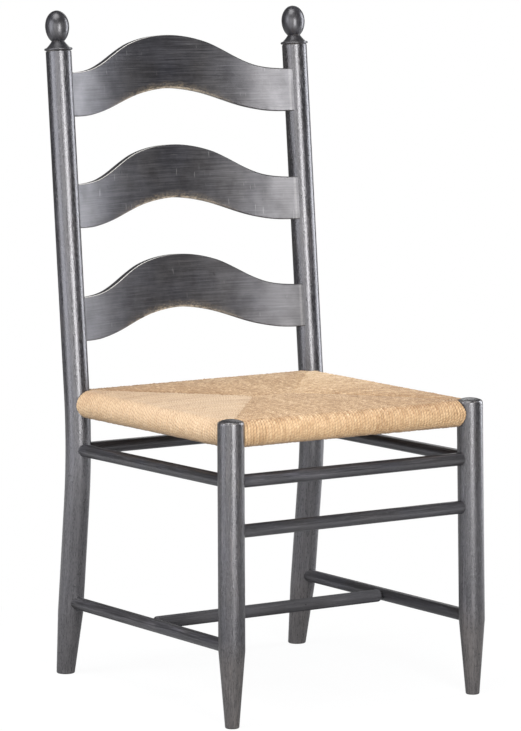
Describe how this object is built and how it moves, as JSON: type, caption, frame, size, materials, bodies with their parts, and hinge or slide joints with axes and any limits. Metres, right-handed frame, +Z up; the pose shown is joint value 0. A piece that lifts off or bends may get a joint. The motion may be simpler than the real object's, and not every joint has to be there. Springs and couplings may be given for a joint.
{
  "type": "ladder-back side chair",
  "caption": "Armless ladder-back side chair: bent round posts with egg finials, arched bowed slats, round rungs, an H stretcher and a square woven rush seat.",
  "frame": {"origin": "on the floor, centre of the bounding box", "axes": "+Z up, the chair faces -Y, +X to the right of a viewer who faces the chair"},
  "size_m": [0.4838, 0.5596, 1.0444],
  "materials": {
    "post_wood": "satin charcoal paint, brushed and rubbed",
    "slat_wood": "satin charcoal paint, rubbed to tan at the edges",
    "rung_wood": "satin charcoal paint",
    "bare_wood": "unfinished",
    "peg_wood": "satin charcoal paint",
    "rush_cord": "twisted paper cord, matt",
    "stuffing": "folded paper and card"
  },
  "bodies": {
    "root": {"rear_post_left": "post_wood", "rear_post_right": "post_wood", "front_leg_left": "post_wood", "front_leg_right": "post_wood", "finial_left": "post_wood", "finial_right": "post_wood", "slat_top": "slat_wood", "slat_middle": "slat_wood", "slat_bottom": "slat_wood", "side_rung_upper_left": "rung_wood", "side_rung_upper_right": "rung_wood", "front_rung_upper": "rung_wood", "front_rung_lower": "rung_wood", "rear_rung": "rung_wood", "side_stretcher_left": "rung_wood", "side_stretcher_right": "rung_wood", "cross_stretcher": "rung_wood", "seat_rail_front": "bare_wood", "seat_rail_rear": "bare_wood", "seat_rail_left": "bare_wood", "seat_rail_right": "bare_wood", "slat_pegs": "peg_wood", "rush_seat": "rush_cord", "seat_stuffing_front": "stuffing", "seat_stuffing_rear": "stuffing", "seat_stuffing_left": "stuffing", "seat_stuffing_right": "stuffing"}
  },
  "joints": []
}
